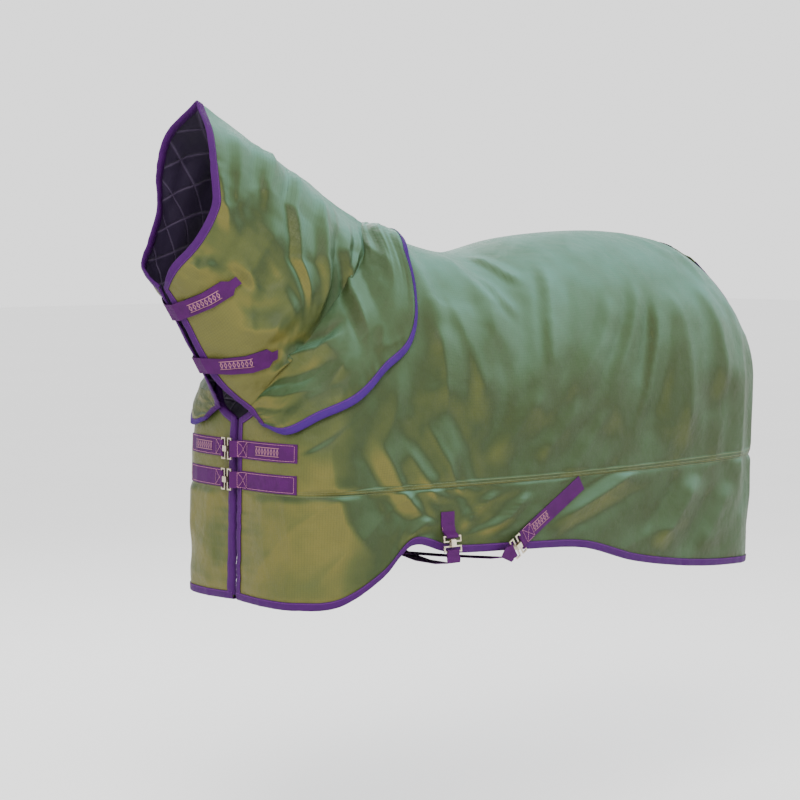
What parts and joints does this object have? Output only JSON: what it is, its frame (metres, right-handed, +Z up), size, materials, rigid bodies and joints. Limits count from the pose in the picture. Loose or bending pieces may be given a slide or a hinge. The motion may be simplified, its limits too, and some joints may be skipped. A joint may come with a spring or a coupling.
{
  "type": "turnout rug",
  "caption": "Horse turnout rug with a detachable neck cover, chest and belly strap closures with snap hooks, and a tail flap, shaped as worn.",
  "frame": {"origin": "underside of the lining on top of the withers, on the middle line", "axes": "+Z up, -Y towards the head, +X towards the horse's near (left) side"},
  "size_m": [0.7019, 1.9536, 1.2494],
  "materials": {
    "shell": "shot ripstop polyester, green with a gold and teal sheen",
    "lining": "smooth dark polyester lining",
    "wadding": "polyester wadding, sealed inside",
    "binding": "woven purple tape",
    "webbing": "woven purple webbing",
    "fastener": "hook-and-loop tape",
    "hardware": "worn nickel plate"
  },
  "bodies": {
    "rug": {"chest_lower_ring": "hardware", "chest_patch_lower_near": "webbing", "chest_patch_lower_off": "webbing", "chest_patch_upper_near": "webbing", "chest_patch_upper_off": "webbing", "chest_upper_ring": "hardware", "front_edge_binding_near": "binding", "front_edge_binding_off": "binding", "hem_binding_near": "binding", "hem_binding_off": "binding", "lining": "lining", "neckline_binding_near": "binding", "neckline_binding_off": "binding", "outer_lower_panel_near": "shell", "outer_lower_panel_off": "shell", "outer_upper_panel": "shell", "rear_edge_binding_near": "binding", "rear_edge_binding_off": "binding", "surcingle_front_ring": "hardware", "surcingle_long_front": "webbing", "surcingle_long_rear": "webbing", "surcingle_rear_ring": "hardware", "surcingle_short_front": "webbing", "surcingle_short_rear": "webbing", "tail_flap_tape": "webbing", "wadding": "wadding", "withers_loop_tape": "fastener"},
    "neck_cover": {"cover_face_binding": "binding", "cover_lining": "lining", "cover_outer": "shell", "cover_rear_binding": "binding", "cover_throat_binding_near": "binding", "cover_throat_binding_off": "binding", "neck_tab_anchor_lower": "webbing", "neck_tab_anchor_upper": "webbing", "neck_tab_loop_lower": "fastener", "neck_tab_loop_upper": "fastener", "withers_hook_tape": "fastener"},
    "neck_tab_upper": {"neck_tab_hook_upper": "fastener", "neck_tab_upper": "webbing"},
    "neck_tab_lower": {"neck_tab_hook_lower": "fastener", "neck_tab_lower": "webbing"},
    "tail_flap": {"tail_flap": "shell", "tail_flap_binding": "binding"},
    "chest_lower_gate": {"chest_lower_gate": "hardware"},
    "chest_lower_hook": {"chest_lower_hook": "hardware"},
    "chest_upper_gate": {"chest_upper_gate": "hardware"},
    "chest_upper_hook": {"chest_upper_hook": "hardware"},
    "surcingle_front_gate": {"surcingle_front_gate": "hardware"},
    "surcingle_front_hook": {"surcingle_front_hook": "hardware"},
    "surcingle_rear_gate": {"surcingle_rear_gate": "hardware"},
    "surcingle_rear_hook": {"surcingle_rear_hook": "hardware"},
    "surcingle_slider_front": {"surcingle_slider_front": "hardware"},
    "surcingle_slider_rear": {"surcingle_slider_rear": "hardware"}
  },
  "joints": [
    {"name": "neck_cover_lift", "type": "slide", "parent": "rug", "child": "neck_cover", "axis": [0, -0.8713, 0.4907], "range_m": [0, 0.15]},
    {"name": "neck_tab_upper_peel", "type": "hinge", "parent": "neck_cover", "child": "neck_tab_upper", "pos_m": [0.0003, -0.65593, -0.16618], "axis": [0, 0.5337, -0.8457], "range_deg": [0, 90]},
    {"name": "neck_tab_lower_peel", "type": "hinge", "parent": "neck_cover", "child": "neck_tab_lower", "pos_m": [0.0003, -0.57693, -0.29475], "axis": [0, 0.5366, -0.8438], "range_deg": [0, 90]},
    {"name": "tail_flap_lift", "type": "hinge", "parent": "rug", "child": "tail_flap", "pos_m": [0, 0.995, -0.0085], "axis": [1, 0, 0], "range_deg": [0, 70]},
    {"name": "chest_upper_hook_swing", "type": "hinge", "parent": "rug", "child": "chest_upper_hook", "pos_m": [0.004, -0.48849, -0.4995], "axis": [0, 0, 1], "range_deg": [-2.5, 2.5]},
    {"name": "chest_upper_gate_open", "type": "hinge", "parent": "chest_upper_hook", "child": "chest_upper_gate", "pos_m": [-0.01075, -0.48269, -0.4995], "axis": [0, 0, 1], "range_deg": [0, 10], "stiffness_Nm_per_rad": 0.02, "springref_deg": -2.86},
    {"name": "chest_lower_hook_swing", "type": "hinge", "parent": "rug", "child": "chest_lower_hook", "pos_m": [0.004, -0.48981, -0.5745], "axis": [0, 0, 1], "range_deg": [-2.5, 2.5]},
    {"name": "chest_lower_gate_open", "type": "hinge", "parent": "chest_lower_hook", "child": "chest_lower_gate", "pos_m": [-0.01075, -0.48401, -0.5745], "axis": [0, 0, 1], "range_deg": [0, 10], "stiffness_Nm_per_rad": 0.02, "springref_deg": -2.86},
    {"name": "surcingle_front_hook_swing", "type": "hinge", "parent": "rug", "child": "surcingle_front_hook", "pos_m": [0.34041, -0.0675, -0.75195], "axis": [0.0808, 0.9967, 0.0013], "range_deg": [-2.5, 2.5]},
    {"name": "surcingle_front_gate_open", "type": "hinge", "parent": "surcingle_front_hook", "child": "surcingle_front_gate", "pos_m": [0.33307, -0.06693, -0.73791], "axis": [0.0808, 0.9967, 0.0013], "range_deg": [0, 10], "stiffness_Nm_per_rad": 0.02, "springref_deg": -2.86},
    {"name": "surcingle_rear_hook_swing", "type": "hinge", "parent": "rug", "child": "surcingle_rear_hook", "pos_m": [0.35188, 0.12249, -0.76537], "axis": [0.0206, 0.5129, -0.8582], "range_deg": [-2.5, 2.5]},
    {"name": "surcingle_rear_gate_open", "type": "hinge", "parent": "surcingle_rear_hook", "child": "surcingle_rear_gate", "pos_m": [0.34577, 0.13511, -0.75797], "axis": [0.0206, 0.5129, -0.8582], "range_deg": [0, 10], "stiffness_Nm_per_rad": 0.02, "springref_deg": -2.86},
    {"name": "surcingle_slider_front_slide", "type": "slide", "parent": "rug", "child": "surcingle_slider_front", "axis": [0.0002, -0.0007, 1], "range_m": [0, 0.02]},
    {"name": "surcingle_slider_rear_slide", "type": "slide", "parent": "rug", "child": "surcingle_slider_rear", "axis": [0.0109, -0.0003, 0.9999], "range_m": [0, 0.02]}
  ]
}
